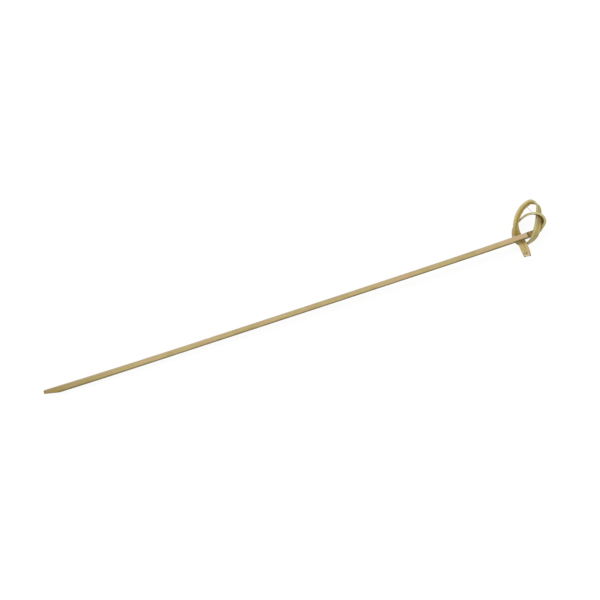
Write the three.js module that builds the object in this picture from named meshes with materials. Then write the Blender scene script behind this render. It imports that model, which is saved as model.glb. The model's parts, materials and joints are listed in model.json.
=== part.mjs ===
// A knot pick for canapes and takeaway cups: one bamboo splint, nothing joined to it.
// The lower part is a straight, blunt-tipped shaft. Above a slanting cut the splint is shaved thin,
// bent round twice and passed through itself, so it makes an open knot with a short tail.
//
// Lengths are millimetres. While it is drawn, +X runs along the shaft towards the knot, +Y points
// towards the knot's tall loop and +Z is the side that the knot opens to. The origin of the drawing is
// the shaft's knot end. At the close the pick is laid on the table, and the origin moves under it.
import * as THREE from 'three';
import { ConvexHull } from 'three/addons/math/ConvexHull.js';

// Shaft
const SHAFT_LENGTH = 173.5;
const SHAFT_WIDTH = 2.0;
const SHAFT_TIP_WIDTH = 2.3;
const SHAFT_KNOT_WIDTH = 2.15;
const SHAFT_DEPTH = 1.9;
const SHAFT_BOW = 0.42;
const SHAFT_EDGE = 0.22;

// Blunt tip: a long bevel on one side, a short nose on the other, and a thinned front
const TIP_BEVEL_LENGTH = 5.1;
const TIP_BEVEL_CUT = 1.0;
const TIP_NOSE_LENGTH = 0.8;
const TIP_NOSE_CUT = 0.2;
const TIP_FRONT_CUT = 0.4;

// Shaved splint that makes the knot
const SPLINT_THICKNESS = 0.75;
const SPLINT_WIDTH = 2.2;
const LOOP_WIDTH = 2.45;
const TAIL_WIDTH = 2.85;
const TAIL_END_WIDTH = 2.4;
const SPLINT_EDGE = 0.14;
const STRAND_GAP = 0.15;

// Slanting cut where the shaft's depth ends, and the tail's trimmed end
const STEP_LENGTH = 0.55;
const STEP_SETBACK = 0.3;
const STEP_SLANT = 0.3;
const TAIL_SLANT = 0.14;

// Facets: the longest piece of splint between two sections, in the knot and at the step, and the
// number of sections along the shaft
const KNOT_FACET = 0.42;
const STEP_FACET = 0.2;
const SHAFT_FACETS = 14;

const BAMBOO = new THREE.MeshStandardMaterial({ color: 0xbcab7c, roughness: 0.62, metalness: 0 });

// One lay is the rise from the middle of a strand to the middle of the next one that crosses it,
// where one of the two stands on its edge. The knot is tied in lays, so a wider or thicker splint
// makes a bigger knot.
const LAY = SPLINT_WIDTH / 2 + SPLINT_THICKNESS + STRAND_GAP;

// The splint's way through the knot: x, y and z of its middle in lays, its lean in degrees and its
// width. At lean 0 it stands on edge with its cut face towards the loop; at 90 that face looks up.
const LEAD_IN = 1.2;
const SHAFT_LEVEL = -0.3;
const ROUTE = [
  [-LEAD_IN, -0.03, SHAFT_LEVEL, 90, SHAFT_KNOT_WIDTH],
  [0, 0, -0.34, 91, SHAFT_KNOT_WIDTH],
  [1.1, 0.09, -0.76, 88, SHAFT_KNOT_WIDTH],
  [2.18, 0.73, -0.68, 51, SPLINT_WIDTH],
  [2.89, 1.4, 0.03, 25, SPLINT_WIDTH],
  [2.88, 2.03, 0.4, 20, SPLINT_WIDTH],
  [2.55, 2.63, 0.58, 15, SPLINT_WIDTH],
  [1.95, 3.08, 0.6, 8, SPLINT_WIDTH],
  [0.9, 3.33, 0.15, 4, SPLINT_WIDTH],
  [-0.15, 3.13, -0.7, 2, SPLINT_WIDTH],
  [-1.2, 2.65, -1.38, 2, SPLINT_WIDTH],
  [-2.2, 1.95, -1.66, 2, SPLINT_WIDTH],
  [-2.73, 0.9, -1.62, 2, SPLINT_WIDTH],
  [-2.75, -0.15, -1.6, 0, SPLINT_WIDTH],
  [-2.3, -0.98, -1.62, 0, SPLINT_WIDTH],
  [-1.45, -1.43, -1.65, -4, SPLINT_WIDTH],
  [-0.6, -1.3, -1.35, -12, SPLINT_WIDTH],
  [0.35, -0.8, -0.2, -33, SPLINT_WIDTH],
  [0.98, -0.1, 0.32, -54, SPLINT_WIDTH],
  [1.63, 0.85, 0.25, -58, SPLINT_WIDTH],
  [2.1, 1.84, -0.44, -46, LOOP_WIDTH],
  [2.48, 2.75, -0.83, -50, SPLINT_WIDTH],
  [2.75, 3.6, -0.9, -37, SPLINT_WIDTH],
  [2.68, 4.45, -0.85, -5, SPLINT_WIDTH],
  [2.2, 5.0, -0.7, 25, SPLINT_WIDTH],
  [1.7, 5.2, -0.5, 34, LOOP_WIDTH],
  [1.15, 5.1, -0.35, 36, LOOP_WIDTH],
  [0.1, 4.63, 0.05, 39, LOOP_WIDTH],
  [-0.9, 3.73, 0.25, 39, LOOP_WIDTH],
  [-1.63, 2.7, 0.18, 33, LOOP_WIDTH],
  [-1.95, 1.65, -0.4, 46, LOOP_WIDTH],
  [-1.98, 0.6, -0.98, 67, LOOP_WIDTH],
  [-1.83, -0.4, -0.86, 80, TAIL_WIDTH],
  [-1.65, -1.4, -0.5, 86, TAIL_WIDTH],
  [-1.55, -2.45, -0.3, 90, TAIL_WIDTH],
  [-1.5, -3.43, -0.15, 90, TAIL_END_WIDTH],
];

// Smooth line through rows of numbers, straight at its start and free at its end. The distance along
// it is counted on the chords between the rows. Each column of numbers is bent by itself.
function smoothThrough(rows, startSlope) {
  const spans = rows.slice(1).map((row, i) => {
    const before = rows[i];
    return Math.hypot(row[0] - before[0], row[1] - before[1], row[2] - before[2]);
  });
  const columns = startSlope.map((slope, c) => bendsOf(rows.map((row) => row[c]), spans, slope));
  const valueAt = (i, share) => {
    const rest = 1 - share;
    const bendShare = spans[i] * spans[i] / 6;
    return columns.map((bends, c) => rest * rows[i][c] + share * rows[i + 1][c]
      + bendShare * ((rest ** 3 - rest) * bends[i] + (share ** 3 - share) * bends[i + 1]));
  };
  return { spans, valueAt };
}

// Second slopes of the cubic through the values, which make its bending change without a jump
function bendsOf(values, spans, startSlope) {
  const last = values.length - 1;
  const slopes = spans.map((span, i) => (values[i + 1] - values[i]) / span);
  const diagonal = [2 * spans[0]];
  const target = [6 * (slopes[0] - startSlope)];
  for (let i = 1; i < last; i += 1) {
    const factor = spans[i - 1] / diagonal[i - 1];
    diagonal[i] = 2 * (spans[i - 1] + spans[i]) - factor * spans[i - 1];
    target[i] = 6 * (slopes[i] - slopes[i - 1]) - factor * target[i - 1];
  }
  const bends = new Array(last + 1).fill(0);
  for (let i = last - 1; i >= 0; i -= 1) {
    bends[i] = (target[i] - spans[i] * bends[i + 1]) / diagonal[i];
  }
  return bends;
}

// A section of the splint: its middle, its direction, the way across its width and the way through
// its thickness. At lean 90 across points to -Y and through points up.
function sectionAt(middle, along, leanDegrees) {
  const lean = THREE.MathUtils.degToRad(leanDegrees);
  const up = new THREE.Vector3(0, 0, 1);
  const upright = up.clone().addScaledVector(along, -up.dot(along)).normalize();
  const sideways = along.clone().cross(upright);
  const across = upright.multiplyScalar(Math.cos(lean)).addScaledVector(sideways, Math.sin(lean));
  return { middle, along, across, through: across.clone().cross(along) };
}

// Corners of a section, with its edges taken off. near and far are its reach across, from the middle;
// front says how deep it is at a place across. slant shears the section along the splint.
function corners(section, { near, far, front, edge, slant = 0 }) {
  const back = -SPLINT_THICKNESS / 2;
  const outline = [
    [near, back + edge],
    [near, front(near) - edge],
    [near - edge, front(near - edge)],
    [edge - far, front(edge - far)],
    [-far, front(-far) - edge],
    [-far, back + edge],
    [edge - far, back],
    [near - edge, back],
  ];
  return outline.map(([across, through]) => section.middle.clone()
    .addScaledVector(section.across, across)
    .addScaledVector(section.through, through)
    .addScaledVector(section.along, slant * across));
}

const smoothStep = (share) => THREE.MathUtils.smoothstep(share, 0, 1);

// The shaft's own width swells towards the tip and a little towards the knot.
function shaftWidth(share) {
  const towardsTip = (1 - smoothStep(share * 3)) * (SHAFT_TIP_WIDTH - SHAFT_WIDTH);
  const towardsKnot = smoothStep(share * 5 - 4) * (SHAFT_KNOT_WIDTH - SHAFT_WIDTH);
  return SHAFT_WIDTH + towardsTip + towardsKnot;
}

const shaftBow = (share) => -SHAFT_BOW * (1 - (2 * share - 1) ** 4);

// Rings of corners along the shaft, from the tip to where the route through the knot takes over
function shaftRings() {
  const frontDepth = SHAFT_DEPTH - SPLINT_THICKNESS / 2;
  const length = SHAFT_LENGTH - LEAD_IN * LAY;
  const plain = length - TIP_BEVEL_LENGTH;
  const places = [0, TIP_NOSE_LENGTH];
  for (let i = 0; i < SHAFT_FACETS; i += 1) {
    places.push(TIP_BEVEL_LENGTH + plain * i / SHAFT_FACETS);
  }
  return places.map((place) => {
    const share = place / SHAFT_LENGTH;
    const bevel = Math.max(0, 1 - place / TIP_BEVEL_LENGTH);
    const nose = Math.max(0, 1 - place / TIP_NOSE_LENGTH);
    const half = shaftWidth(share) / 2;
    const middle = new THREE.Vector3(place - SHAFT_LENGTH, shaftBow(share), SHAFT_LEVEL * LAY);
    return corners(sectionAt(middle, new THREE.Vector3(1, 0, 0), 90), {
      near: half - TIP_BEVEL_CUT * bevel,
      far: half - TIP_NOSE_CUT * nose,
      front: () => frontDepth - TIP_FRONT_CUT * bevel,
      edge: SHAFT_EDGE,
    });
  });
}

// Rings of corners through the knot, with the slanting step at its start
function knotRings() {
  const rows = ROUTE.map(([x, y, z, lean, width]) => [x * LAY, y * LAY, z * LAY, lean, width]);
  const line = smoothThrough(rows, [1, 0, 0, 0, 0]);
  const samples = [];
  line.spans.forEach((span, i) => {
    const facets = Math.ceil(span / (i === 0 ? STEP_FACET : KNOT_FACET));
    for (let k = 0; k < facets; k += 1) {
      samples.push([...line.valueAt(i, k / facets), i]);
    }
  });
  samples.push([...line.valueAt(line.spans.length - 1, 1), line.spans.length]);
  const points = samples.map(([x, y, z]) => new THREE.Vector3(x, y, z));

  return points.map((middle, i) => {
    const before = points[Math.max(0, i - 1)];
    const after = points[Math.min(points.length - 1, i + 1)];
    const along = i === 0 ? new THREE.Vector3(1, 0, 0) : after.clone().sub(before).normalize();
    const [, , , lean, width, row] = samples[i];
    const isTailEnd = i === points.length - 1;
    const thick = (across) => (row === 0 ? stepShare(middle.x, across) : 0);
    return corners(sectionAt(middle, along, lean), {
      near: width / 2,
      far: width / 2,
      front: (across) => SPLINT_THICKNESS / 2 + thick(across) * (SHAFT_DEPTH - SPLINT_THICKNESS),
      edge: THREE.MathUtils.lerp(SPLINT_EDGE, SHAFT_EDGE, thick(0)),
      slant: isTailEnd ? -TAIL_SLANT : 0,
    });
  });
}

// 1 where the shaft still has its full depth, 0 where the splint is shaved thin
function stepShare(x, across) {
  const stepEnd = STEP_SLANT * across - STEP_SETBACK;
  return THREE.MathUtils.clamp((stepEnd - x) / STEP_LENGTH, 0, 1);
}

// Closed skin over rings of corners that follow each other, with a flat cap on each end
function skin(rings) {
  const around = rings[0].length;
  const faces = [];
  for (let i = 0; i + 1 < rings.length; i += 1) {
    for (let k = 0; k < around; k += 1) {
      const here = i * around + k;
      const beside = i * around + (k + 1) % around;
      faces.push(here, here + around, beside, beside, here + around, beside + around);
    }
  }
  const lastRing = (rings.length - 1) * around;
  for (let k = 1; k + 1 < around; k += 1) {
    faces.push(0, k, k + 1, lastRing, lastRing + k + 1, lastRing + k);
  }
  const geometry = new THREE.BufferGeometry().setFromPoints(rings.flat());
  geometry.setIndex(faces);
  return geometry;
}

// Middle of the geometry's weight, from the tetrahedra between its triangles and the origin
function middleOfWeight(points, faces) {
  const middle = new THREE.Vector3();
  let weight = 0;
  for (let i = 0; i < faces.length; i += 3) {
    const [a, b, c] = [points[faces[i]], points[faces[i + 1]], points[faces[i + 2]]];
    const share = a.dot(b.clone().cross(c));
    middle.addScaledVector(a.clone().add(b).add(c), share / 4);
    weight += share;
  }
  return middle.divideScalar(weight);
}

// Way out of the hull's face that lies straight under a point
function faceUnder(points, middle) {
  const hull = new ConvexHull().setFromPoints(points);
  const lower = hull.faces.filter((face) => face.normal.z < 0);
  const drop = (face) => (face.normal.dot(middle) - face.constant) / face.normal.z;
  return lower.reduce((nearest, face) => (drop(face) < drop(nearest) ? face : nearest)).normal;
}

// Lay the pick on the table as it comes to rest, on its tip and two places of the knot, with the
// origin under its middle.
function layDown(geometry) {
  const position = geometry.getAttribute('position');
  const points = Array.from({ length: position.count }, (_, i) => new THREE.Vector3()
    .fromBufferAttribute(position, i));
  const middle = middleOfWeight(points, geometry.index.array);
  const down = new THREE.Vector3(0, 0, -1);
  geometry.applyQuaternion(new THREE.Quaternion()
    .setFromUnitVectors(faceUnder(points, middle), down));
  geometry.computeBoundingBox();
  const { min, max } = geometry.boundingBox;
  geometry.translate(-(min.x + max.x) / 2, -(min.y + max.y) / 2, -min.z);
}

const geometry = skin([...shaftRings(), ...knotRings()]);
layDown(geometry);
geometry.computeVertexNormals();

const pick = new THREE.Mesh(geometry, BAMBOO);
pick.name = 'knot_pick';

const group = new THREE.Group();
group.add(pick);

export default group;
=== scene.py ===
"""A knot pick: one splint of bamboo with a blunt-tipped shaft and an open knot tied in its shaved end.

The splint is first made as a straight blank, with its faces, step, tip and fibres. A Geometry Nodes
tree then bends it along its route through the knot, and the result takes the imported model's place.
Lengths in the rows below are in lays, as in the part's source, and the properties are in metres.
"""

import json
import math
import random

import bmesh
import bpy
from bpy.props import FloatProperty, FloatVectorProperty, IntProperty, PointerProperty
from mathutils import Matrix, Vector, noise


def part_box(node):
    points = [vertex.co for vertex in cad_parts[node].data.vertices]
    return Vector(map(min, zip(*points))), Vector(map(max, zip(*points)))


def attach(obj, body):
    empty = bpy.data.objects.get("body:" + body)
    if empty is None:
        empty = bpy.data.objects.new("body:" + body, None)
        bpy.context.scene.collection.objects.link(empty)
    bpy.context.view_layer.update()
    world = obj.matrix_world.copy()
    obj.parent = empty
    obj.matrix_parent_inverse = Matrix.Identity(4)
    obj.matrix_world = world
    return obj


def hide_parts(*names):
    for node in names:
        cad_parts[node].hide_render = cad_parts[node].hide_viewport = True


bl_info = {
    "name": "Knot pick",
    "version": (1, 0, 0),
    "blender": (4, 5, 0),
    "location": "3D View > Sidebar > Knot pick",
    "description": "Builds a bamboo pick with an open knot, and the table it lies on",
    "category": "Object",
}

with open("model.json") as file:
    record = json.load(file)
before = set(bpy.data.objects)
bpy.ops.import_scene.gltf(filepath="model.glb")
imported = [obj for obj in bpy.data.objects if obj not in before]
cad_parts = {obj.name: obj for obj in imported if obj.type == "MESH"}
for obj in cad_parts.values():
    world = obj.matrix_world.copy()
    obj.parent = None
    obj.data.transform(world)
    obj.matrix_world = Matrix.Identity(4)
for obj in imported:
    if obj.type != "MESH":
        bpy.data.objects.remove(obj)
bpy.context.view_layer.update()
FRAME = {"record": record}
NODE = "knot_pick"
MM = 0.001
SEED = 7

# The splint's way through the knot: x, y and z of its middle in lays, its lean in degrees, and how
# wide it is beside the splint's own width. At lean 0 it stands on edge, and at 90 its cut face is up.
# Beside the shaft's end, the strand that leaves the shaft and the one that passes over it still cut
# into each other.
LEAD_IN = 1.2
SHAFT_LEVEL = -0.3
ROUTE = (
    (-LEAD_IN, -0.03, SHAFT_LEVEL, 90, 0.977),
    (0.0, 0.0, -0.34, 91, 0.977),
    (1.1, 0.09, -0.76, 88, 0.977),
    (2.18, 0.73, -0.68, 51, 1.0),
    (2.89, 1.4, 0.03, 33, 1.03),
    (2.88, 2.03, 0.4, 32, 1.04),
    (2.55, 2.63, 0.58, 24, 1.03),
    (1.95, 3.08, 0.6, 8, 1.0),
    (0.9, 3.33, 0.15, 4, 1.0),
    (-0.15, 3.13, -0.7, 2, 1.0),
    (-1.2, 2.65, -1.38, 2, 1.0),
    (-2.2, 1.95, -1.66, 2, 1.0),
    (-2.73, 0.9, -1.62, 2, 1.0),
    (-2.75, -0.15, -1.6, 0, 1.0),
    (-2.3, -0.98, -1.62, 0, 1.0),
    (-1.45, -1.43, -1.65, -4, 1.0),
    (-0.6, -1.3, -1.35, -12, 1.0),
    (0.35, -0.8, -0.2, -38, 1.08),
    (0.96, -0.12, 0.34, -62, 1.12),
    (1.61, 0.85, 0.28, -64, 1.1),
    (2.1, 1.84, -0.44, -46, 1.114),
    (2.48, 2.75, -0.83, -50, 1.0),
    (2.75, 3.6, -0.9, -37, 1.0),
    (2.68, 4.45, -0.85, -5, 1.0),
    (2.2, 5.0, -0.7, 25, 1.0),
    (1.7, 5.2, -0.5, 34, 1.114),
    (1.15, 5.1, -0.35, 36, 1.114),
    (0.1, 4.63, 0.05, 39, 1.114),
    (-0.9, 3.73, 0.25, 39, 1.114),
    (-1.63, 2.7, 0.18, 33, 1.114),
    (-1.95, 1.65, -0.4, 46, 1.114),
    (-1.98, 0.6, -0.98, 67, 1.114),
    (-1.83, -0.4, -0.86, 80, 1.295),
    (-1.65, -1.4, -0.5, 86, 1.295),
    (-1.55, -2.45, -0.3, 90, 1.295),
    (-1.5, -3.43, -0.15, 90, 1.091),
)

# A fibre that has come loose in the tall loop: x, y and z in lays, from its root to its end
LOOSE_FIBRE = ((0.55, 4.98, -0.15), (0.8, 4.7, 0.1), (1.15, 4.2, 0.35), (1.43, 3.6, 0.55))

# Where the photograph's middle lies on the table, from the middle of the pick, how the shaft is
# tilted in it, and how much of the table it shows
AIM = (2.38 * MM, 0.99 * MM)
SHAFT_ANGLE = math.radians(18.15)
PHOTO_WIDTH = 204.0 * MM

# How closely the route's points are set on the shaft and in the knot
SHAFT_STEP = 1.5 * MM
KNOT_STEP = 0.09 * MM
LOOSE_STEP = 0.12 * MM

# Corners of the section, how far from an edge a face's fibres are at full depth, and the points round
# each corner and the steps along each face and each side
SPLINT_CORNER = 0.13 * MM
SHAFT_CORNER = 0.2 * MM
EDGE_REACH = 0.1 * MM
CORNER_POINTS = 5
FACE_STEPS = 15
SIDE_STEPS = 5

# How far the fibres run before they drift, change in depth and change finely, and how wide a drift is
DRIFT_RUN = 9 * MM
DEPTH_RUN = 14 * MM
FINE_RUN = 3 * MM
DRIFT_WIDTH = 2 * MM

# The grain map: how much of the blank one unit covers, and the step from point to point round it
GRAIN_LENGTH = 10 * MM
GRAIN_STEP = 0.011

# Edges that turn by more than this stay sharp
SHARP_ANGLE = math.radians(50)

# The tail's torn end: how long it is, how coarse and deep its tears are, how far it stops short, and
# how much of the splint's thickness its slope leaves
TORN_LENGTH = 0.4 * MM
TORN_GRAIN = 0.22 * MM
TORN_DEPTH = 0.035 * MM
END_MARGIN = 0.04 * MM
END_LEVEL = 0.45

# Slivers: how near the splint's edge they stand, how far from the tail's end in millimetres and how
# deep. Each leans towards a place of the edge that is one run away, rises a little, and is some
# share of the full size.
SLIVER_EDGE = 0.97
SLIVER_REACH = 72.0
SLIVER_SINK = 0.02 * MM
SLIVER_RUN = 0.3 * MM
SLIVER_RISE = 0.22
SLIVER_SHARES = (0.45, 1.0)

# Stretches of the splint, in millimetres from the tail's end
WHOLE_KNOT = (3.0, 70.0)
TALL_LOOP = (12.0, 30.0)
TIGHT_BEND = (58.0, 67.5)
DEEPEST_BEND = (58.5, 67.0)
RIM_HIGHLIGHT = (10.0, 68.0)
RUST_BAND = (0.95, 1.4)

# The stage. A light has its place along the photograph's right, up and out, its size and its power.
TABLE_REACH = 3.0
TABLE_DROP = 0.02 * MM
TABLE_WHITE = 1.05
TABLE_WHITE_SHARE = 0.86
KEY_LIGHT = ((-0.4, 0.8, 1.1), 0.6, 8.4)
FILL_LIGHT = ((0.8, -0.2, 1.0), 0.9, 3.4)
ROOM_LIGHT = 0.5
CAMERA_HEIGHT = 1.5
SENSOR_WIDTH = 36.0


def step_count(distance, step):
    """How many steps of about that size fill a distance."""
    return max(1, math.ceil(distance / step))


def mix(a, b, share):
    """A value between a and b."""
    return a + (b - a) * share


def smooth(share):
    """A share from 0 to 1 with soft ends."""
    share = min(1.0, max(0.0, share))
    return share * share * (3 - 2 * share)


def length(name, description, millimetres):
    """A length property, whose default is given in millimetres."""
    return FloatProperty(name=name, description=description, default=millimetres * MM, unit="LENGTH")


def colour(name, description, value):
    """A colour property in linear values."""
    return FloatVectorProperty(
        name=name, description=description, default=value, subtype="COLOR", size=3
    )


class KnotPickSizes(bpy.types.PropertyGroup):
    """Sizes of the pick."""

    shaft_length: length("Shaft length", "From the tip to the slanting cut", 173.5)
    shaft_width: length("Shaft width", "Across the middle of the shaft", 2.0)
    shaft_tip_width: length("Tip width", "Across the shaft before its tip", 2.3)
    shaft_knot_width: length("Neck width", "Across the shaft at the knot", 2.15)
    shaft_depth: length("Shaft depth", "From the shaft's back to its front", 1.9)
    shaft_bow: length("Shaft bow", "How far the shaft's middle bows sideways", 0.42)
    splint_width: length("Splint width", "Across the splint in the knot", 2.2)
    splint_thickness: length("Splint thickness", "Through the shaved splint", 0.75)
    strand_gap: length("Strand gap", "Part of a lay that is room for a crossing strand", 0.15)
    skin_margin: length("Skin margin", "How far each face stays inside the solid", 0.012)
    tip_bevel_length: length("Tip bevel length", "Length of the tip's long bevel", 5.1)
    tip_bevel_cut: length("Tip bevel cut", "What the bevel takes off the side", 1.0)
    tip_nose_length: length("Tip nose length", "Length of the tip's short corner", 0.8)
    tip_nose_cut: length("Tip nose cut", "What the corner takes off the side", 0.2)
    tip_thinning: length("Tip thinning", "What the front loses at the tip", 0.4)
    step_length: length("Step length", "Length of the cut that ends the shaft's depth", 0.55)
    step_setback: length("Step setback", "From the step's foot to the knot's start", 0.3)
    step_slant: FloatProperty(
        name="Step slant", description="Run of the step for each unit across the shaft", default=0.3
    )
    tail_slant: FloatProperty(
        name="Tail slant", description="Run of the tail's end for each unit across it", default=0.14
    )
    tail_bevel: length("Tail bevel", "Length of the slope at the tail's cut end", 0.45)
    shaft_round: length("Shaft rounding", "Radius of the shaft's worn lower edge", 0.42)
    fibre_relief: length("Fibre relief", "Depth of the grooves between fibres", 0.03)
    fibre_pitch: length("Fibre pitch", "From one groove to the next", 0.24)
    fibre_radius: length("Fibre radius", "Half the loose fibre's thickness", 0.1)
    sliver_thickness: length("Sliver thickness", "Thickness of a torn sliver's foot", 0.035)
    sliver_count: IntProperty(
        name="Slivers", description="Torn slivers on the splint's edges", default=34, min=0
    )
    sliver_length: length("Sliver length", "Length of a torn sliver", 0.5)


class KnotPickColours(bpy.types.PropertyGroup):
    """Colours of the bamboo and the table."""

    straw: colour("Straw", "Main colour of the split bamboo", (0.545, 0.44, 0.185))
    # Rosy also paints the highlight on the shaft's end beside the knot
    rosy: colour("Rosy", "Warm patches", (0.63, 0.44, 0.26))
    olive: colour("Olive", "Cool patches and the tip", (0.34, 0.27, 0.09))
    fibre: colour("Fibre", "Dark fibres between the pale ones", (0.30, 0.19, 0.07))
    # On the shaved face, gold is partly painted warm bounce light
    gold: colour("Gold", "Shaved face, and all of the knot", (0.66, 0.53, 0.115))
    skin: colour("Skin", "Back of the splint", (0.37, 0.335, 0.14))
    # On the crease and the neck, amber is painted shade
    amber: colour("Amber", "Knot's dark fibres, crease, neck and tip", (0.36, 0.21, 0.035))
    dusty: colour("Dusty", "Upper edge of the shaft, and the loose fibres", (0.47, 0.40, 0.29))
    shade: colour("Shade", "Shaft's lower edge, and the tight bend's inside", (0.17, 0.12, 0.035))
    rust: colour("Rust", "Band before the tail's end", (0.27, 0.12, 0.055))
    # Pale wood of the tail's cut end; on the knot's rim this colour is a painted highlight
    pith_and_rim_highlight: colour("Pith and rim highlight", "Fresh wood of the tail's end and of the rim", (0.7, 0.64, 0.4))
    # Painted shade deep in the tight bend and on the step, and the tail end's darker corners
    deep_shade_and_corners: colour("Deep shade and corners", "Depth of the tight bend, step, tail's corners", (0.09, 0.045, 0.015))
    table: colour("Table", "Table, under its white glow", (0.9, 0.9, 0.9))


def sizes():
    """The pick's sizes."""
    return bpy.context.scene.knot_pick_sizes


def colours():
    """The pick's colours."""
    return bpy.context.scene.knot_pick_colours


def lay():
    """The unit of the route's rows: half the splint's width, its thickness and the strand gap."""
    s = sizes()
    return s.splint_width / 2 + s.splint_thickness + s.strand_gap


# Route


def bends_of(values, spans, start_slope):
    """Second slopes of the smooth line through some values."""
    slopes = [(b - a) / span for a, b, span in zip(values, values[1:], spans)]
    diagonal = [2 * spans[0]]
    target = [6 * (slopes[0] - start_slope)]
    for i in range(1, len(spans)):
        factor = spans[i - 1] / diagonal[i - 1]
        diagonal.append(2 * (spans[i - 1] + spans[i]) - factor * spans[i - 1])
        target.append(6 * (slopes[i] - slopes[i - 1]) - factor * target[i - 1])
    bends = [0.0] * len(values)
    for i in range(len(spans) - 1, -1, -1):
        bends[i] = (target[i] - spans[i] * bends[i + 1]) / diagonal[i]
    return bends


def smooth_rows(rows, start_slopes, step):
    """Rows set closely on the smooth line through some rows."""
    spans = [math.dist(a[:3], b[:3]) for a, b in zip(rows, rows[1:])]
    columns = list(zip(*rows))
    bends = [bends_of(column, spans, slope) for column, slope in zip(columns, start_slopes)]
    found = []
    for i, span in enumerate(spans):
        count = step_count(span, step)
        for k in range(count):
            share = k / count
            rest = 1 - share
            bend = span * span / 6
            found.append(
                tuple(
                    rest * column[i]
                    + share * column[i + 1]
                    + bend * ((rest**3 - rest) * curve[i] + (share**3 - share) * curve[i + 1])
                    for column, curve in zip(columns, bends)
                )
            )
    found.append(tuple(rows[-1]))
    return found


def shaft_half_width(share):
    """Half of the shaft's own width, from its tip at 0 to the knot at 1."""
    s = sizes()
    towards_tip = (1 - smooth(share * 3)) * (s.shaft_tip_width - s.shaft_width)
    towards_knot = smooth(share * 5 - 4) * (s.shaft_knot_width - s.shaft_width)
    return (s.shaft_width + towards_tip + towards_knot) / 2


def whole_route():
    """Middle points, leans and widths of the whole splint, from its tip to the tail's end."""
    s = sizes()
    unit = lay()
    straight = s.shaft_length - LEAD_IN * unit
    count = step_count(straight, SHAFT_STEP)
    rows = []
    for k in range(count):
        x = straight * k / count
        share = x / s.shaft_length
        bow = -s.shaft_bow * (1 - (2 * share - 1) ** 4)
        middle = (x - s.shaft_length, bow, SHAFT_LEVEL * unit)
        rows.append((*middle, 90.0, 2 * shaft_half_width(share)))
    knot = [
        (x * unit, y * unit, z * unit, lean, width * s.splint_width) for x, y, z, lean, width in ROUTE
    ]
    return rows + smooth_rows(knot, (1, 0, 0, 0, 0), KNOT_STEP)


def poly_curve(name, places):
    """Curve data through some places."""
    data = bpy.data.curves.new(name, "CURVE")
    data.dimensions = "3D"
    spline = data.splines.new("POLY")
    spline.points.add(len(places) - 1)
    for point, place in zip(spline.points, places):
        point.co = (*place, 1.0)
    return data


def route_curve(rows):
    """A curve object along the rows, whose tilt leans the splint."""
    data = poly_curve("route", [row[:3] for row in rows])
    data.twist_mode = "Z_UP"
    for point, row in zip(data.splines[0].points, rows):
        point.tilt = math.radians(row[3] - 90)
    route = bpy.data.objects.new("route", data)
    bpy.context.scene.collection.objects.link(route)
    return route


# Straight blank


def rounded_outline(near, far, front, back, radius, worn):
    """Points round a section with rounded corners, the near front one worn to its own radius.

    across runs from far, below zero, to near, and through from back, below zero, to front.
    """
    corners = ((near, front, worn), (far, front, radius), (far, back, radius), (near, back, radius))
    arcs = []
    for quarter, (across, through, size) in enumerate(corners):
        middle = Vector((across - math.copysign(size, across), through - math.copysign(size, through)))
        angles = [math.radians(90) * (quarter + k / (CORNER_POINTS - 1)) for k in range(CORNER_POINTS)]
        arcs.append([middle + size * Vector((math.cos(angle), math.sin(angle))) for angle in angles])
    points = []
    sides = (FACE_STEPS, SIDE_STEPS, FACE_STEPS, SIDE_STEPS)
    for arc, following, steps in zip(arcs, arcs[1:] + arcs[:1], sides):
        points += arc
        points += [arc[-1].lerp(following[0], k / steps) for k in range(1, steps)]
    return points


def groove(along, across, seed):
    """How deep the gap between two fibres is at a place on a face, from 0 to 1."""
    s = sizes()
    drift = noise.noise(Vector((along / DRIFT_RUN, across / DRIFT_WIDTH, seed)))
    place = across / s.fibre_pitch + 1.6 * drift
    strand = noise.noise(Vector((place, along / DEPTH_RUN, seed + 20.0)))
    fine = noise.noise(Vector((place * 2.7, along / FINE_RUN, seed + 40.0)))
    return min(1.0, max(0.0, 0.5 + 0.75 * strand + 0.3 * fine))


def stations(total):
    """Places along the blank where it has a section, closer where it bends or is cut."""
    s = sizes()
    tip = s.tip_bevel_length * 1.2
    neck = s.shaft_length - 1.6 * MM
    foot = s.shaft_length + 0.4 * MM
    tail = total - 1.0 * MM
    # Where each stretch starts and ends, and the step in it
    stretches = (
        (0, tip, 0.16 * MM),
        (tip, neck, 0.6 * MM),
        (neck, foot, 0.07 * MM),
        (foot, tail, 0.14 * MM),
        (tail, total, 0.08 * MM),
    )
    places = []
    for start, end, step in stretches:
        count = step_count(end - start, step)
        places += [mix(start, end, k / count) for k in range(count)]
    return places + [total]


def width_along(rows):
    """A function that gives the splint's half width at a distance along it, and its whole length."""
    travelled = [0.0]
    for a, b in zip(rows, rows[1:]):
        travelled.append(travelled[-1] + math.dist(a[:3], b[:3]))

    def half_width(along):
        low, high = 0, len(rows) - 1
        while high - low > 1:
            middle = (low + high) // 2
            if travelled[middle] <= along:
                low = middle
            else:
                high = middle
        share = (along - travelled[low]) / (travelled[high] - travelled[low])
        return mix(rows[low][4], rows[high][4], share) / 2

    return half_width, travelled[-1]


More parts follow.
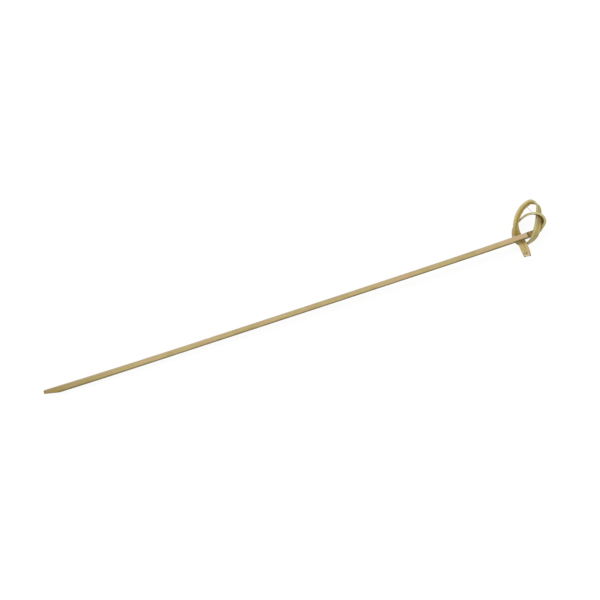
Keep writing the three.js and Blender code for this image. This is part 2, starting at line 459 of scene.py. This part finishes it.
def section_points(along, total, half_width):
    """The outline of the blank's section at a place along it, with its faces' fibres."""
    s = sizes()
    bevel = max(0.0, 1 - along / s.tip_bevel_length)
    nose = max(0.0, 1 - along / s.tip_nose_length)
    near = half_width - s.tip_bevel_cut * bevel - s.skin_margin
    far = -(half_width - s.tip_nose_cut * nose - s.skin_margin)
    back = -s.splint_thickness / 2 + s.skin_margin
    thin_front = s.splint_thickness / 2 - s.skin_margin
    thick_front = s.shaft_depth - s.splint_thickness / 2 - s.skin_margin - s.tip_thinning * bevel
    past_neck = along > s.shaft_length + MM
    if past_neck:
        front, radius, worn = thin_front, SPLINT_CORNER, SPLINT_CORNER
    else:
        front, radius, worn = thick_front, SHAFT_CORNER, s.shaft_round
    outline = rounded_outline(near, far, front, back, radius, worn)
    points = []
    for across, through in outline:
        if not past_neck and through > thin_front:
            foot = s.step_slant * across - s.step_setback
            share = min(1.0, max(0.0, (foot - (along - s.shaft_length)) / s.step_length))
            through = mix(min(through, thin_front), through, share)
        to_end = total - along
        if to_end < s.tail_bevel and through > back + radius:
            through = mix(through, back + END_LEVEL * s.splint_thickness, 1 - to_end / s.tail_bevel)
        inset = s.fibre_relief * groove(along, across + 3 * through, 3.0 if through > 0 else 11.0)
        on_face = smooth(min(across - far, near - across) / EDGE_REACH)
        through -= math.copysign(inset * on_face, through - (back + thin_front) / 2)
        across -= math.copysign(inset * (1 - on_face), across)
        run = along
        if to_end < TORN_LENGTH:
            torn = TORN_DEPTH * noise.noise(Vector((across / TORN_GRAIN, through / TORN_GRAIN, 5.0)))
            run += (1 - to_end / TORN_LENGTH) * (torn - s.tail_slant * across - END_MARGIN)
        points.append((run, across, through))
    return points


def blank_mesh(rows):
    """The straight splint: its faces, step, tip and cut ends, with the masks that its finish reads."""
    half_width, total = width_along(rows)
    mesh = bpy.data.meshes.new("bamboo_splint")
    bm = bmesh.new()
    shaved = bm.verts.layers.float.new("shaved")
    skin = bm.verts.layers.float.new("skin")
    from_tip = bm.verts.layers.float.new("from_tip")
    from_tail = bm.verts.layers.float.new("from_tail")
    across_key = bm.verts.layers.float.new("across")
    grain = bm.loops.layers.uv.new("grain")
    s = sizes()
    rings = []
    for along in stations(total):
        width = half_width(along)
        ring = []
        for x, across, through in section_points(along, total, width):
            vert = bm.verts.new((x, across, through))
            past_shaft = smooth((along - s.shaft_length) / MM)
            vert[shaved] = smooth(through / s.splint_thickness * 3) * past_shaft
            vert[skin] = smooth(-through / s.splint_thickness * 3)
            vert[from_tip] = along / MM
            vert[from_tail] = (total - along) / MM
            vert[across_key] = across / width
            ring.append(vert)
        rings.append(ring)
    around = len(rings[0])
    for ring, following in zip(rings, rings[1:]):
        for k in range(around):
            beside = (k + 1) % around
            face = bm.faces.new((ring[k], following[k], following[beside], ring[beside]))
            for loop in face.loops:
                place = (k + 1 if loop.vert in (ring[beside], following[beside]) else k) * GRAIN_STEP
                loop[grain].uv = (loop.vert.co.x / GRAIN_LENGTH, place)
    for ring, is_start in ((rings[0], True), (rings[-1], False)):
        middle = bm.verts.new(sum((vert.co for vert in ring), Vector()) / around)
        for layer in (shaved, skin, from_tip, from_tail, across_key):
            middle[layer] = sum(vert[layer] for vert in ring) / around
        for k in range(around):
            pair = (ring[k], ring[(k + 1) % around])
            face = bm.faces.new((middle, *pair) if is_start else (middle, *reversed(pair)))
            for loop in face.loops:
                loop[grain].uv = (loop.vert.co.y / MM, loop.vert.co.z / MM)
    bmesh.ops.recalc_face_normals(bm, faces=bm.faces)
    bm.to_mesh(mesh)
    bm.free()
    return mesh


# Geometry Nodes


def new_tree(name, inputs):
    """A Geometry Nodes tree with named inputs, its input and output nodes and its result socket."""
    tree = bpy.data.node_groups.new(name, "GeometryNodeTree")
    for label, kind in inputs:
        tree.interface.new_socket(name=label, in_out="INPUT", socket_type=kind)
    tree.interface.new_socket(name="Geometry", in_out="OUTPUT", socket_type="NodeSocketGeometry")
    return tree, tree.nodes.new("NodeGroupInput"), tree.nodes.new("NodeGroupOutput")


def close_tree(tree, geometry, material, result):
    """Ends a tree in Realize Instances and Set Material."""
    realize = tree.nodes.new("GeometryNodeRealizeInstances")
    finish = tree.nodes.new("GeometryNodeSetMaterial")
    tree.links.new(geometry, realize.inputs["Geometry"])
    tree.links.new(realize.outputs["Geometry"], finish.inputs["Geometry"])
    tree.links.new(material, finish.inputs["Material"])
    tree.links.new(finish.outputs["Geometry"], result.inputs["Geometry"])


def math_node(tree, operation, first, second):
    """A number worked out from two sockets or numbers."""
    made = tree.nodes.new("ShaderNodeMath")
    made.operation = operation
    for socket, value in zip(made.inputs, (first, second)):
        if isinstance(value, bpy.types.NodeSocket):
            tree.links.new(value, socket)
        else:
            socket.default_value = value
    return made.outputs[0]


def drawn_out(tree, value, low, high):
    """A value of 0 to 1, drawn out from low to high."""
    made = tree.nodes.new("ShaderNodeMapRange")
    made.inputs["To Min"].default_value = low
    made.inputs["To Max"].default_value = high
    tree.links.new(value, made.inputs["Value"])
    return made.outputs["Result"]


def turned(tree, geometry, turn):
    """Geometry turned by a linked rotation."""
    made = tree.nodes.new("GeometryNodeTransform")
    tree.links.new(geometry, made.inputs["Geometry"])
    tree.links.new(turn, made.inputs["Rotation"])
    return made.outputs["Geometry"]


def vector_math(tree, operation, first, second):
    """A vector worked out from two linked sockets."""
    node = tree.nodes.new("ShaderNodeVectorMath")
    node.operation = operation
    tree.links.new(first, node.inputs[0])
    if operation == "SCALE":
        tree.links.new(second, node.inputs["Scale"])
    else:
        tree.links.new(second, node.inputs[1])
    return node.outputs["Vector"]


def bend_tree():
    """Bends a straight blank along a route, whose tilt leans it, and lays it down."""
    tree, given, result = new_tree(
        "Bend along route",
        (
            ("Geometry", "NodeSocketGeometry"),
            ("Route", "NodeSocketObject"),
            ("Turn", "NodeSocketVector"),
            ("Material", "NodeSocketMaterial"),
        ),
    )
    links = tree.links
    info = tree.nodes.new("GeometryNodeObjectInfo")
    info.transform_space = "ORIGINAL"
    links.new(given.outputs["Route"], info.inputs["Object"])
    place = tree.nodes.new("GeometryNodeInputPosition")
    parts = tree.nodes.new("ShaderNodeSeparateXYZ")
    links.new(place.outputs["Position"], parts.inputs[0])
    sample = tree.nodes.new("GeometryNodeSampleCurve")
    sample.mode = "LENGTH"
    links.new(info.outputs["Geometry"], sample.inputs["Curves"])
    links.new(parts.outputs["X"], sample.inputs["Length"])
    across = sample.outputs["Normal"]
    through = vector_math(tree, "CROSS_PRODUCT", across, sample.outputs["Tangent"])
    whole = tree.nodes.new("GeometryNodeCurveLength")
    links.new(info.outputs["Geometry"], whole.inputs["Curve"])
    over = math_node(tree, "SUBTRACT", parts.outputs["X"], whole.outputs["Length"])
    past_end = math_node(tree, "MAXIMUM", over, 0.0)
    moved = vector_math(tree, "SCALE", across, parts.outputs["Y"])
    lifted = vector_math(tree, "SCALE", through, parts.outputs["Z"])
    pushed = vector_math(tree, "SCALE", sample.outputs["Tangent"], past_end)
    offset = vector_math(tree, "ADD", moved, lifted)
    reach = vector_math(tree, "ADD", offset, pushed)
    bent = vector_math(tree, "ADD", sample.outputs["Position"], reach)
    setter = tree.nodes.new("GeometryNodeSetPosition")
    links.new(given.outputs["Geometry"], setter.inputs["Geometry"])
    links.new(bent, setter.inputs["Position"])
    laid = turned(tree, setter.outputs["Geometry"], given.outputs["Turn"])
    close_tree(tree, laid, given.outputs["Material"], result)
    return tree


def strand_tree():
    """A thin fibre along a curve, thinner towards its end."""
    tree, given, result = new_tree(
        "Fibre along curve",
        (
            ("Geometry", "NodeSocketGeometry"),
            ("Radius", "NodeSocketFloat"),
            ("Turn", "NodeSocketVector"),
            ("Material", "NodeSocketMaterial"),
        ),
    )
    links = tree.links
    along = tree.nodes.new("GeometryNodeSplineParameter")
    taper = drawn_out(tree, along.outputs["Factor"], 1.0, 0.6)
    radius = math_node(tree, "MULTIPLY", taper, given.outputs["Radius"])
    profile = tree.nodes.new("GeometryNodeCurvePrimitiveCircle")
    profile.inputs["Resolution"].default_value = 7
    profile.inputs["Radius"].default_value = 1.0
    sweep = tree.nodes.new("GeometryNodeCurveToMesh")
    sweep.inputs["Fill Caps"].default_value = True
    links.new(given.outputs["Geometry"], sweep.inputs["Curve"])
    links.new(profile.outputs["Curve"], sweep.inputs["Profile Curve"])
    links.new(radius, sweep.inputs["Scale"])
    laid = turned(tree, sweep.outputs["Mesh"], given.outputs["Turn"])
    close_tree(tree, laid, given.outputs["Material"], result)
    return tree


def sliver_tree():
    """Torn slivers of random sizes on points that each know their direction."""
    tree, given, result = new_tree(
        "Slivers on points",
        (
            ("Geometry", "NodeSocketGeometry"),
            ("Length", "NodeSocketFloat"),
            ("Thickness", "NodeSocketFloat"),
            ("Material", "NodeSocketMaterial"),
        ),
    )
    links = tree.links
    cone = tree.nodes.new("GeometryNodeMeshCone")
    cone.inputs["Vertices"].default_value = 5
    cone.inputs["Radius Top"].default_value = 0.0
    links.new(given.outputs["Thickness"], cone.inputs["Radius Bottom"])
    links.new(given.outputs["Length"], cone.inputs["Depth"])
    direction = tree.nodes.new("GeometryNodeInputNamedAttribute")
    direction.data_type = "FLOAT_VECTOR"
    direction.inputs["Name"].default_value = "direction"
    turn = tree.nodes.new("FunctionNodeAlignRotationToVector")
    turn.axis = "Z"
    links.new(direction.outputs["Attribute"], turn.inputs["Vector"])
    size = tree.nodes.new("FunctionNodeRandomValue")
    size.data_type = "FLOAT"
    size.inputs[2].default_value, size.inputs[3].default_value = SLIVER_SHARES
    size.inputs["Seed"].default_value = SEED
    spread = tree.nodes.new("GeometryNodeInstanceOnPoints")
    links.new(given.outputs["Geometry"], spread.inputs["Points"])
    links.new(cone.outputs["Mesh"], spread.inputs["Instance"])
    links.new(turn.outputs["Rotation"], spread.inputs["Rotation"])
    links.new(size.outputs[1], spread.inputs["Scale"])
    close_tree(tree, spread.outputs["Instances"], given.outputs["Material"], result)
    return tree


def grow(name, data, tree, values):
    """Runs a tree on mesh or curve data and returns the result as a plain mesh object."""
    source = bpy.data.objects.new(name + "_source", data)
    bpy.context.scene.collection.objects.link(source)
    modifier = source.modifiers.new(tree.name, "NODES")
    modifier.node_group = tree
    for item in tree.interface.items_tree:
        if item.item_type == "SOCKET" and item.in_out == "INPUT" and item.name in values:
            modifier[item.identifier] = values[item.name]
    source.update_tag()
    seen = source.evaluated_get(bpy.context.evaluated_depsgraph_get())
    mesh = bpy.data.meshes.new_from_object(seen)
    mesh.name = name
    source.modifiers.remove(modifier)
    bpy.data.objects.remove(source)
    piece = bpy.data.objects.new(name, mesh)
    bpy.context.scene.collection.objects.link(piece)
    if not mesh.vertices:
        raise RuntimeError(name + " came out empty")
    return piece


# Materials


def node(tree, kind, **values):
    """A node with its plain settings and its unlinked inputs."""
    made = tree.nodes.new(kind)
    for key, value in values.items():
        if key in made.inputs:
            made.inputs[key].default_value = value
        else:
            setattr(made, key, value)
    return made


def blend(tree, under, over, share):
    """One colour over another, by a mask."""
    made = tree.nodes.new("ShaderNodeMix")
    made.data_type = "RGBA"
    tree.links.new(share, made.inputs["Factor"])
    for socket, value in ((made.inputs[6], under), (made.inputs[7], over)):
        if isinstance(value, bpy.types.NodeSocket):
            tree.links.new(value, socket)
        else:
            socket.default_value = (*value, 1.0)
    return made.outputs[2]


def mask(tree, value, low, high):
    """1 where a value is at high, 0 where it is at low, soft between."""
    made = tree.nodes.new("ShaderNodeMapRange")
    made.interpolation_type = "SMOOTHSTEP"
    made.inputs["From Min"].default_value = low
    made.inputs["From Max"].default_value = high
    tree.links.new(value, made.inputs["Value"])
    return made.outputs["Result"]


def fibre_group():
    """Shared fibres of split bamboo: broad streaks, fine streaks and patches, drawn out along u."""
    tree = bpy.data.node_groups.new("Bamboo fibres", "ShaderNodeTree")
    tree.interface.new_socket(name="Vector", in_out="INPUT", socket_type="NodeSocketVector")
    tree.interface.new_socket(name="Fineness", in_out="INPUT", socket_type="NodeSocketFloat")
    for label in ("Streaks", "Fine", "Patches"):
        tree.interface.new_socket(name=label, in_out="OUTPUT", socket_type="NodeSocketFloat")
    given = tree.nodes.new("NodeGroupInput")
    result = tree.nodes.new("NodeGroupOutput")
    layers = (
        ("Streaks", (0.5, 9.0, 1.0), 3.0),
        ("Fine", (1.6, 34.0, 1.0), 4.0),
        ("Patches", (0.9, 1.2, 1.0), 1.6),
    )
    for label, proportions, fineness in layers:
        mapping = node(tree, "ShaderNodeMapping", Scale=proportions)
        tree.links.new(given.outputs["Vector"], mapping.inputs["Vector"])
        pattern = node(tree, "ShaderNodeTexNoise", Detail=3.0, Roughness=0.6)
        tree.links.new(mapping.outputs["Vector"], pattern.inputs["Vector"])
        scale = math_node(tree, "MULTIPLY", given.outputs["Fineness"], fineness)
        tree.links.new(scale, pattern.inputs["Scale"])
        tree.links.new(pattern.outputs["Fac"], result.inputs[label])
    return tree


def use_fibres(tree, group, fineness):
    """The shared fibres, read along the piece's own grain."""
    uv = node(tree, "ShaderNodeUVMap", uv_map="grain")
    fibres = tree.nodes.new("ShaderNodeGroup")
    fibres.node_tree = group
    fibres.inputs["Fineness"].default_value = fineness
    tree.links.new(uv.outputs["UV"], fibres.inputs["Vector"])
    return fibres.outputs


def attribute(tree, name):
    """A mask or distance that the piece's points hold."""
    return node(tree, "ShaderNodeAttribute", attribute_name=name).outputs["Fac"]


def new_material(name):
    """A material with an empty Principled shader, ready to be wired."""
    material = bpy.data.materials.new(name)
    material.use_nodes = True
    shader = material.node_tree.nodes["Principled BSDF"]
    return material, material.node_tree, shader


def both(tree, first, second):
    """1 only where both masks are."""
    return math_node(tree, "MULTIPLY", first, second)


def band(tree, value, start, end, soft):
    """1 between two places, with soft ends."""
    begun = mask(tree, value, start - soft, start + soft)
    return both(tree, begun, mask(tree, value, end + soft, end - soft))


def tint(tree, body, over, place, strength):
    """A colour over another, at a strength where the mask is 1."""
    return blend(tree, body, over, math_node(tree, "MULTIPLY", place, strength))


def knot_tones(tree, body, from_tail, across, streaks):
    """The knot's gold and amber, with the tall loop's crease, the tight bend's inside and its depth in
    painted shade, and a painted highlight on the rim. The shaved face's gold is partly painted warm
    bounce light.

    The neck beside the shaft's end has painted shade in amber, and the step has painted shade in the
    darkest colour.
    """
    c = colours()
    face = mask(tree, attribute(tree, "shaved"), 0.9, 1.0)
    # Gold on the shaved face: partly the cut face's own colour, partly painted warm bounce light
    # inside the knot
    body = tint(tree, body, c.gold, both(tree, face, mask(tree, from_tail, 5.0, 9.0)), 0.6)
    knot = band(tree, from_tail, *WHOLE_KNOT, 1.5)
    body = tint(tree, body, c.gold, knot, 0.22)
    body = tint(tree, body, c.amber, both(tree, knot, mask(tree, streaks, 0.47, 0.6)), 0.55)
    # Painted shade in amber along the tall loop's crease, on the shaved face
    crease = both(tree, band(tree, across, -0.3, 0.15, 0.12), band(tree, from_tail, *TALL_LOOP, 2.0))
    body = tint(tree, body, c.amber, both(tree, crease, face), 0.9)
    # Painted shade inside the tight bend
    inside = both(tree, band(tree, from_tail, *TIGHT_BEND, 1.0), mask(tree, across, 0.6, 0.45))
    body = tint(tree, body, c.shade, both(tree, inside, face), 0.7)
    # Painted shadow, darkest, deep in the tight bend
    deep = both(tree, band(tree, from_tail, *DEEPEST_BEND, 0.8), band(tree, across, -0.4, 0.38, 0.12))
    body = tint(tree, body, c.deep_shade_and_corners, both(tree, deep, face), 0.9)
    # Painted highlight along the knot's rim
    rim = both(tree, mask(tree, across, 0.5, 0.64), band(tree, from_tail, *RIM_HIGHLIGHT, 3.0))
    body = tint(tree, body, c.pith_and_rim_highlight, rim, 0.4)
    from_tip = attribute(tree, "from_tip")
    end = sizes().shaft_length / MM
    # Painted shade in amber on the neck beside the shaft's end
    body = tint(tree, body, c.amber, band(tree, from_tip, end - 0.4, end + 3.4, 0.5), 0.6)
    # Painted shade on the step's face
    return tint(tree, body, c.deep_shade_and_corners, band(tree, from_tip, end - 1.0, end - 0.3, 0.12), 0.7)


def shaft_tones(tree, body, across, streaks):
    """Painted shade on the shaft's lower edge and under its end, a greyer upper edge, a painted
    highlight on the pale end beside the knot, and the tip.
    """
    c = colours()
    from_tip = attribute(tree, "from_tip")
    end = sizes().shaft_length / MM
    on_shaft = mask(tree, from_tip, end - 0.8, end - 1.1)
    # Painted shade along the shaft's lower edge
    body = tint(tree, body, c.shade, both(tree, mask(tree, across, 0.38, 0.72), on_shaft), 0.72)
    # Painted shadow under the shaft's end
    shaded = both(tree, band(tree, from_tip, end - 6.0, end - 0.8, 0.6), mask(tree, across, 0.3, 0.6))
    body = tint(tree, body, c.shade, shaded, 0.8)
    body = tint(tree, body, c.dusty, both(tree, mask(tree, across, -0.45, -0.8), on_shaft), 0.6)
    middle = both(tree, mask(tree, across, 0.5, 0.1), on_shaft)
    # Painted highlight in rosy on the middle of the shaft's end beside the knot
    pale = both(tree, mask(tree, from_tip, end - 14.0, end - 5.0), middle)
    body = tint(tree, body, c.rosy, pale, 0.6)
    body = tint(tree, body, c.rosy, both(tree, mask(tree, streaks, 0.5, 0.6), middle), 0.45)
    body = tint(tree, body, c.shade, mask(tree, from_tip, 0.8, 0.4), 0.6)
    near_tip = both(tree, mask(tree, from_tip, 12.0, 2.0), mask(tree, streaks, 0.44, 0.56))
    return tint(tree, body, c.amber, near_tip, 0.5)


def tail_end_tones(tree, body, from_tail, across, streaks):
    """A rusty band, a pale cut end and its dark corners."""
    c = colours()
    patchy = both(tree, band(tree, from_tail, *RUST_BAND, 0.15), mask(tree, streaks, 0.35, 0.6))
    body = tint(tree, body, c.rust, patchy, 0.8)
    body = tint(tree, body, c.pith_and_rim_highlight, mask(tree, from_tail, 0.65, 0.45), 0.85)
    wide = math_node(tree, "ABSOLUTE", across, 0.0)
    corner = both(tree, mask(tree, from_tail, 0.5, 0.3), mask(tree, wide, 0.5, 0.65))
    return tint(tree, body, c.deep_shade_and_corners, corner, 0.8)


def split_bamboo(group):
    """Split bamboo: straw, rosy and olive patches, dark fibres, shaved face, skin and cut ends."""
    c = colours()
    material, tree, shader = new_material("Split bamboo")
    fibres = use_fibres(tree, group, 1.0)
    streaks, fine, patches = (fibres[label] for label in ("Streaks", "Fine", "Patches"))
    body = tint(tree, c.straw, c.rosy, mask(tree, patches, 0.45, 0.68), 0.6)
    body = tint(tree, body, c.olive, mask(tree, patches, 0.48, 0.3), 0.4)
    body = tint(tree, body, c.fibre, mask(tree, streaks, 0.5, 0.64), 0.6)
    body = tint(tree, body, c.fibre, mask(tree, fine, 0.52, 0.72), 0.35)
    from_tail = attribute(tree, "from_tail")
    across = attribute(tree, "across")
    body = tint(tree, body, c.skin, attribute(tree, "skin"), 0.6)
    body = tint(tree, body, c.olive, mask(tree, attribute(tree, "from_tip"), 38.0, 1.0), 0.85)
    body = knot_tones(tree, body, from_tail, across, streaks)
    body = shaft_tones(tree, body, across, streaks)
    body = tail_end_tones(tree, body, from_tail, across, streaks)
    tree.links.new(body, shader.inputs["Base Color"])
    tree.links.new(drawn_out(tree, fine, 0.5, 0.72), shader.inputs["Roughness"])
    shader.inputs["Specular IOR Level"].default_value = 0.35
    bump = node(tree, "ShaderNodeBump", Strength=0.5, Distance=0.02 * MM)
    tree.links.new(fine, bump.inputs["Height"])
    tree.links.new(bump.outputs["Normal"], shader.inputs["Normal"])
    return material


def loose_bamboo():
    """Thin loose fibres: greyer and shinier than the splint."""
    c = colours()
    material, tree, shader = new_material("Loose bamboo fibre")
    place = node(tree, "ShaderNodeTexCoord")
    pattern = node(tree, "ShaderNodeTexNoise", Scale=2500.0, Detail=2.0)
    tree.links.new(place.outputs["Object"], pattern.inputs["Vector"])
    body = blend(tree, c.dusty, c.fibre, mask(tree, pattern.outputs["Fac"], 0.35, 0.7))
    tree.links.new(body, shader.inputs["Base Color"])
    shader.inputs["Roughness"].default_value = 0.5
    return material


def table_finish():
    """A white table that shows white to the camera and still takes the pick's shadow."""
    material, tree, shader = new_material("White table")
    place = node(tree, "ShaderNodeTexCoord")
    pattern = node(tree, "ShaderNodeTexNoise", Scale=40.0)
    tree.links.new(place.outputs["Object"], pattern.inputs["Vector"])
    tree.links.new(drawn_out(tree, pattern.outputs["Fac"], 0.85, 0.95), shader.inputs["Roughness"])
    shader.inputs["Base Color"].default_value = (*colours().table, 1.0)
    seen = tree.nodes.new("ShaderNodeLightPath")
    glow = node(tree, "ShaderNodeEmission", Color=(1.0, 1.0, 1.0, 1.0), Strength=TABLE_WHITE)
    camera = math_node(tree, "MAXIMUM", seen.outputs["Is Camera Ray"], seen.outputs["Is Glossy Ray"])
    finish = tree.nodes.new("ShaderNodeMixShader")
    tree.links.new(math_node(tree, "MULTIPLY", camera, TABLE_WHITE_SHARE), finish.inputs[0])
    tree.links.new(shader.outputs[0], finish.inputs[1])
    tree.links.new(glow.outputs[0], finish.inputs[2])
    tree.links.new(finish.outputs[0], tree.nodes["Material Output"].inputs["Surface"])
    return material


# Pieces


def lie():
    """How the pick is turned to lie on the table, from the way that its shaft's underside looks."""
    face = FRAME["record"]["mounts"][0]
    turn = Vector((0, 0, -1)).rotation_difference(Vector(face["axis"]))
    return tuple(turn.to_euler("XYZ"))


def lay_in_box(pieces, node_name):
    """Moves pieces together so that the first one sits in the middle of a node's box, at its foot."""
    low, high = (Vector(corner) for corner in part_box(node_name))
    points = [vert.co for vert in pieces[0].data.vertices]
    seen_low = Vector([min(p[i] for p in points) for i in range(3)])
    seen_high = Vector([max(p[i] for p in points) for i in range(3)])
    shift = (low + high - seen_low - seen_high) / 2
    shift.z = low.z - seen_low.z
    for piece in pieces:
        piece.data.transform(Matrix.Translation(shift))
    return shift


class KNOTPICK_OT_splint(bpy.types.Operator):
    """Makes the bamboo splint, from its blunt tip to the end of its tail"""

    bl_idname = "knotpick.splint"
    bl_label = "Bamboo splint"

    def execute(self, context):
        rows = whole_route()
        route = route_curve(rows)
        values = {"Route": route, "Turn": lie(), "Material": split_bamboo(fibre_group())}
        splint = grow("bamboo_splint", blank_mesh(rows), bend_tree(), values)
        bpy.data.objects.remove(route)
        for polygon in splint.data.polygons:
            polygon.use_smooth = True
        splint.data.set_sharp_from_angle(angle=SHARP_ANGLE)
        shift = lay_in_box([splint], NODE)
        context.scene["knot_pick_shift"] = tuple(shift)
        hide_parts(NODE)
        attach(splint, "root")
        return {"FINISHED"}


class KNOTPICK_OT_loose_fibre(bpy.types.Operator):
    """Makes the fibre that has come loose in the tall loop"""

    bl_idname = "knotpick.loose_fibre"
    bl_label = "Loose fibre"

    def execute(self, context):
        unit = lay()
        rows = [(x * unit, y * unit, z * unit) for x, y, z in LOOSE_FIBRE]
        data = poly_curve("loose_fibre", smooth_rows(rows, (0.5, -0.6, 0.6), LOOSE_STEP))
        values = {"Radius": sizes().fibre_radius, "Turn": lie(), "Material": loose_bamboo()}
        fibre = grow("loose_fibre", data, strand_tree(), values)
        fibre.data.transform(Matrix.Translation(Vector(context.scene["knot_pick_shift"])))
        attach(fibre, "root")
        return {"FINISHED"}


class KNOTPICK_OT_slivers(bpy.types.Operator):
    """Tears small slivers up along the splint's edges, from the tail's end to the shaft"""

    bl_idname = "knotpick.slivers"
    bl_label = "Torn slivers"

    def execute(self, context):
        s = sizes()
        splint = bpy.data.objects["bamboo_splint"].data
        chance = random.Random(SEED)
        edge = splint.attributes["across"].data
        tail = splint.attributes["from_tail"].data
        found = [
            vert
            for vert in splint.vertices
            if abs(edge[vert.index].value) > SLIVER_EDGE and tail[vert.index].value < SLIVER_REACH
        ]
        chosen = chance.sample(found, s.sliver_count)
        points = bpy.data.meshes.new("torn_slivers")
        points.from_pydata([vert.co - vert.normal * SLIVER_SINK for vert in chosen], [], [])
        direction = points.attributes.new("direction", "FLOAT_VECTOR", "POINT")
        for vert, item in zip(chosen, direction.data):
            near = min(
                (other for other in found if other is not vert),
                key=lambda other: abs((other.co - vert.co).length - SLIVER_RUN),
            )
            item.vector = ((near.co - vert.co).normalized() + vert.normal * SLIVER_RISE).normalized()
        values = {
            "Length": s.sliver_length,
            "Thickness": s.sliver_thickness,
            "Material": loose_bamboo(),
        }
        slivers = grow("torn_slivers", points, sliver_tree(), values)
        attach(slivers, "root")
        return {"FINISHED"}


class KNOTPICK_OT_stage(bpy.types.Operator):
    """Makes the table, the soft lights and the camera above it"""

    bl_idname = "knotpick.stage"
    bl_label = "Table, lights and camera"

    def execute(self, context):
        scene = context.scene
        mesh = bpy.data.meshes.new("table")
        quarters = ((-1, -1), (1, -1), (1, 1), (-1, 1))
        corners = [(x * TABLE_REACH, y * TABLE_REACH, -TABLE_DROP) for x, y in quarters]
        mesh.from_pydata(corners, [], [(0, 1, 2, 3)])
        mesh.materials.append(table_finish())
        table = bpy.data.objects.new("table", mesh)
        scene.collection.objects.link(table)
        self.light("key", *KEY_LIGHT)
        self.light("fill", *FILL_LIGHT)
        world = bpy.data.worlds.new("soft room")
        world.use_nodes = True
        background = world.node_tree.nodes["Background"]
        background.inputs["Color"].default_value = (1.0, 1.0, 1.0, 1.0)
        background.inputs["Strength"].default_value = ROOM_LIGHT
        scene.world = world
        self.camera(scene)
        scene.view_settings.view_transform = "Standard"
        return {"FINISHED"}

    @staticmethod
    def light(name, place, size, power):
        """An area light that looks at the pick, placed along the photograph's right, up and out."""
        turn = Matrix.Rotation(-SHAFT_ANGLE, 4, "Z")
        data = bpy.data.lights.new(name, "AREA")
        data.shape = "DISK"
        data.size = size
        data.energy = power
        lamp = bpy.data.objects.new(name, data)
        lamp.location = turn @ Vector(place)
        lamp.rotation_euler = (-lamp.location).to_track_quat("-Z", "Y").to_euler()
        bpy.context.scene.collection.objects.link(lamp)

    @staticmethod
    def camera(scene):
        """A long lens straight above the table."""
        data = bpy.data.cameras.new("camera")
        data.sensor_width = SENSOR_WIDTH
        data.lens = SENSOR_WIDTH * CAMERA_HEIGHT / PHOTO_WIDTH
        camera = bpy.data.objects.new("camera", data)
        camera.location = (*AIM, CAMERA_HEIGHT)
        camera.rotation_euler = (0.0, 0.0, -SHAFT_ANGLE)
        scene.collection.objects.link(camera)
        scene.camera = camera


OPERATORS = (KNOTPICK_OT_splint, KNOTPICK_OT_loose_fibre, KNOTPICK_OT_slivers, KNOTPICK_OT_stage)


class KNOTPICK_PT_panel(bpy.types.Panel):
    """Lists the steps that build the pick"""

    bl_label = "Knot pick"
    bl_idname = "KNOTPICK_PT_panel"
    bl_space_type = "VIEW_3D"
    bl_region_type = "UI"
    bl_category = "Knot pick"

    def draw(self, context):
        for operator in OPERATORS:
            self.layout.operator(operator.bl_idname)


CLASSES = (KnotPickSizes, KnotPickColours, *OPERATORS, KNOTPICK_PT_panel)


def register():
    """Adds the classes and the scene's properties."""
    for cls in CLASSES:
        bpy.utils.register_class(cls)
    bpy.types.Scene.knot_pick_sizes = PointerProperty(type=KnotPickSizes)
    bpy.types.Scene.knot_pick_colours = PointerProperty(type=KnotPickColours)


def unregister():
    """Takes the scene's properties and the classes away."""
    del bpy.types.Scene.knot_pick_colours
    del bpy.types.Scene.knot_pick_sizes
    for cls in reversed(CLASSES):
        bpy.utils.unregister_class(cls)


def main():
    """Builds the pick, its loose fibre, its slivers and the stage."""
    register()
    bpy.ops.knotpick.splint()
    bpy.ops.knotpick.loose_fibre()
    bpy.ops.knotpick.slivers()
    bpy.ops.knotpick.stage()


if __name__ == "__main__":
    main()
